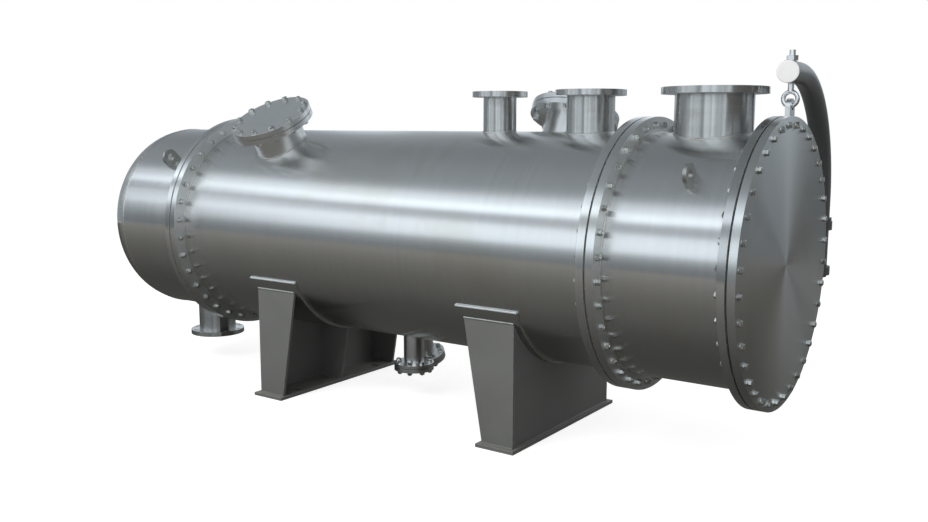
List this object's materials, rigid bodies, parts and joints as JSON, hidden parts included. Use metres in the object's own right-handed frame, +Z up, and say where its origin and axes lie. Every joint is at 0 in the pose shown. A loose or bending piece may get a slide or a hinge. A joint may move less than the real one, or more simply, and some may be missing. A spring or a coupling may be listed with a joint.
{
  "type": "shell and tube heat exchanger",
  "caption": "Horizontal stainless shell-and-tube heat exchanger on two painted saddles, with flanged nozzles, a dished bonnet and a flat bolted channel cover hung from a swing davit.",
  "frame": {"origin": "centre of the fixed (front) saddle's base plate, on its underside", "axes": "+X along the vessel towards the channel cover, +Y away from the pictured side, +Z up"},
  "size_m": [3.9352, 1.3178, 1.7284],
  "materials": {
    "brushed_stainless": "satin, brushed round the vessel",
    "satin_stainless": "satin",
    "saddle_paint": "semi-matt grey paint",
    "davit_paint": "semi-matt dark grey paint",
    "zinc_steel": "dull zinc",
    "gasket_sheet": "matt"
  },
  "bodies": {
    "vessel": {"bonnet_flange": "brushed_stainless", "bonnet_head": "brushed_stainless", "bonnet_lug_far": "satin_stainless", "bonnet_lug_near": "satin_stainless", "bonnet_outlet_nozzle": "satin_stainless", "bonnet_skirt": "brushed_stainless", "channel_front_flange": "brushed_stainless", "channel_lug_far": "satin_stainless", "channel_lug_near": "satin_stainless", "channel_nozzle": "satin_stainless", "channel_rear_flange": "brushed_stainless", "channel_shell": "brushed_stainless", "channel_slip_flange": "satin_stainless", "cover_gasket": "gasket_sheet", "davit_ear_lower": "davit_paint", "davit_ear_upper": "davit_paint", "drain_blind": "satin_stainless", "drain_nozzle": "satin_stainless", "far_blind": "satin_stainless", "far_blind_nozzle": "satin_stainless", "far_drain_blind": "satin_stainless", "far_drain_nozzle": "satin_stainless", "front_saddle_base": "saddle_paint", "front_saddle_rib_far": "saddle_paint", "front_saddle_rib_mid": "saddle_paint", "front_saddle_rib_near": "saddle_paint", "front_saddle_wear_plate": "brushed_stainless", "front_saddle_web": "saddle_paint", "front_tubesheet": "brushed_stainless", "near_blind": "satin_stainless", "near_blind_nozzle": "satin_stainless", "rear_saddle_base": "saddle_paint", "rear_saddle_rib_far": "saddle_paint", "rear_saddle_rib_mid": "saddle_paint", "rear_saddle_rib_near": "saddle_paint", "rear_saddle_wear_plate": "brushed_stainless", "rear_saddle_web": "saddle_paint", "rear_tubesheet": "brushed_stainless", "shell": "brushed_stainless", "shell_inlet_nozzle": "satin_stainless", "shell_vent_nozzle": "satin_stainless"},
    "cover": {"channel_cover": "brushed_stainless", "cover_lug": "zinc_steel", "davit_arm": "davit_paint", "davit_eyebolt": "zinc_steel"}
  },
  "joints": [
    {"name": "cover_swing", "type": "hinge", "parent": "vessel", "child": "cover", "pos_m": [1.045, 0.66, 0.87], "axis": [0, 0, 1], "range_deg": [0, 150]}
  ]
}
